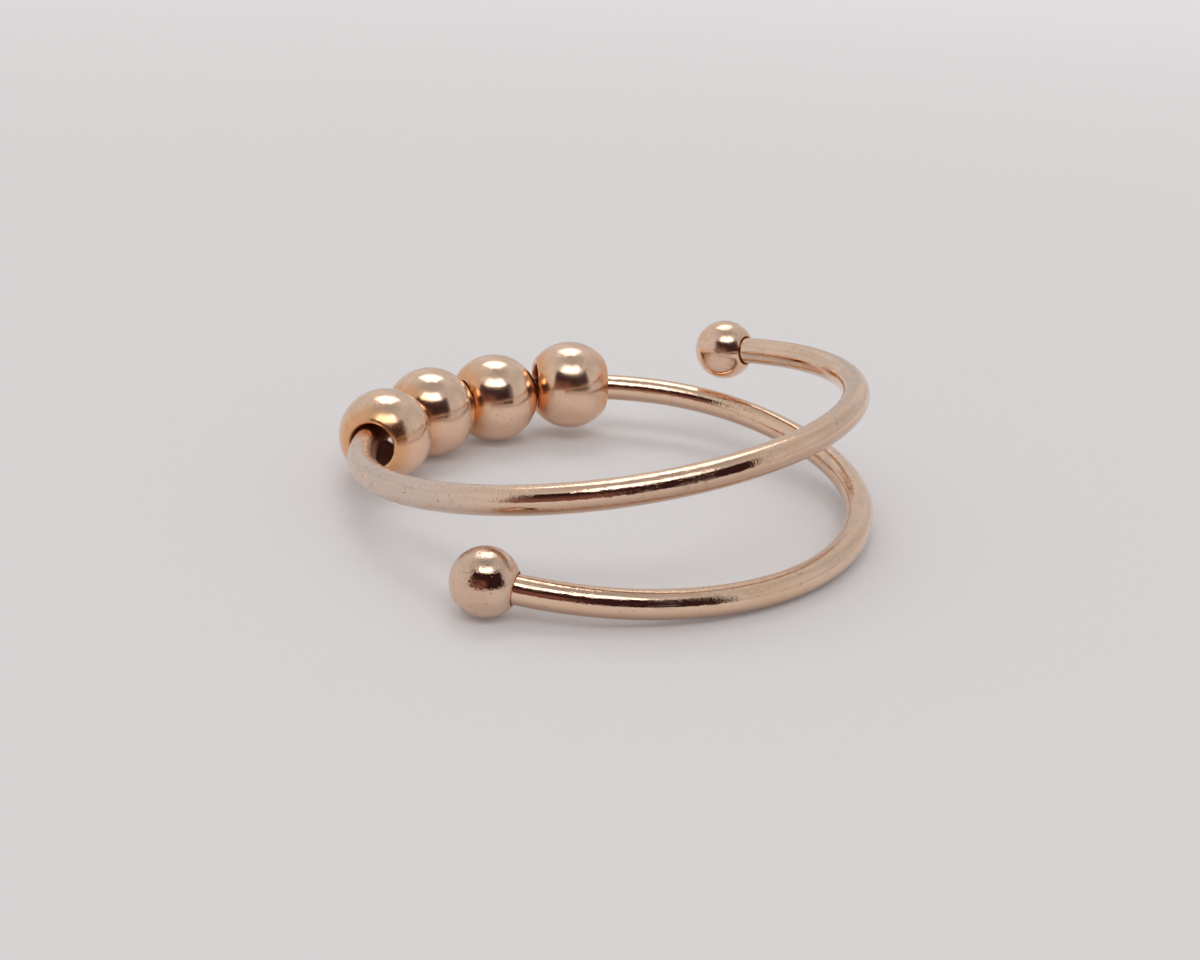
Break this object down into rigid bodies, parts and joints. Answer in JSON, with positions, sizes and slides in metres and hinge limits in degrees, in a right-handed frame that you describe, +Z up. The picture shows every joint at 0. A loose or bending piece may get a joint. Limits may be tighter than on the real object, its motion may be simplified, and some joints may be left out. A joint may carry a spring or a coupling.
{
  "type": "beaded ring",
  "caption": "Open coil finger ring of round polished wire, with a ball on each end and loose hollow beads threaded on it, lying on its side.",
  "frame": {"origin": "under the middle of the ring's bounding box, on the surface the ring lies on", "axes": "+Z up through the finger opening, +Y along the ring's longest extent towards the upper end ball, +X towards the side away from the beads"},
  "size_m": [0.02, 0.0208, 0.0057],
  "materials": {
    "wire": "mirror polished, rose gold plated",
    "end_balls": "mirror polished, rose gold plated",
    "beads": "mirror polished, rose gold plated"
  },
  "bodies": {
    "coil": {"coil_wire": "wire", "end_ball_lower": "end_balls", "end_ball_upper": "end_balls"},
    "bead_4": {"bead_4": "beads"},
    "bead_3": {"bead_3": "beads"},
    "bead_2": {"bead_2": "beads"},
    "bead_1": {"bead_1": "beads"}
  },
  "joints": [
    {"name": "bead_4_slide", "type": "hinge", "parent": "coil", "child": "bead_4", "pos_m": [0.00024, 0.00012, 0.00196], "axis": [0, 0, 1], "range_deg": [-20, 2]},
    {"name": "bead_3_slide", "type": "hinge", "parent": "bead_4", "child": "bead_3", "pos_m": [0.00024, 0.00012, 0.00196], "axis": [0, 0, 1], "range_deg": [0, 4]},
    {"name": "bead_2_slide", "type": "hinge", "parent": "bead_3", "child": "bead_2", "pos_m": [0.00024, 0.00012, 0.00196], "axis": [0, 0, 1], "range_deg": [0, 4]},
    {"name": "bead_1_slide", "type": "hinge", "parent": "bead_2", "child": "bead_1", "pos_m": [0.00024, 0.00012, 0.00196], "axis": [0, 0, 1], "range_deg": [0, 4]}
  ]
}
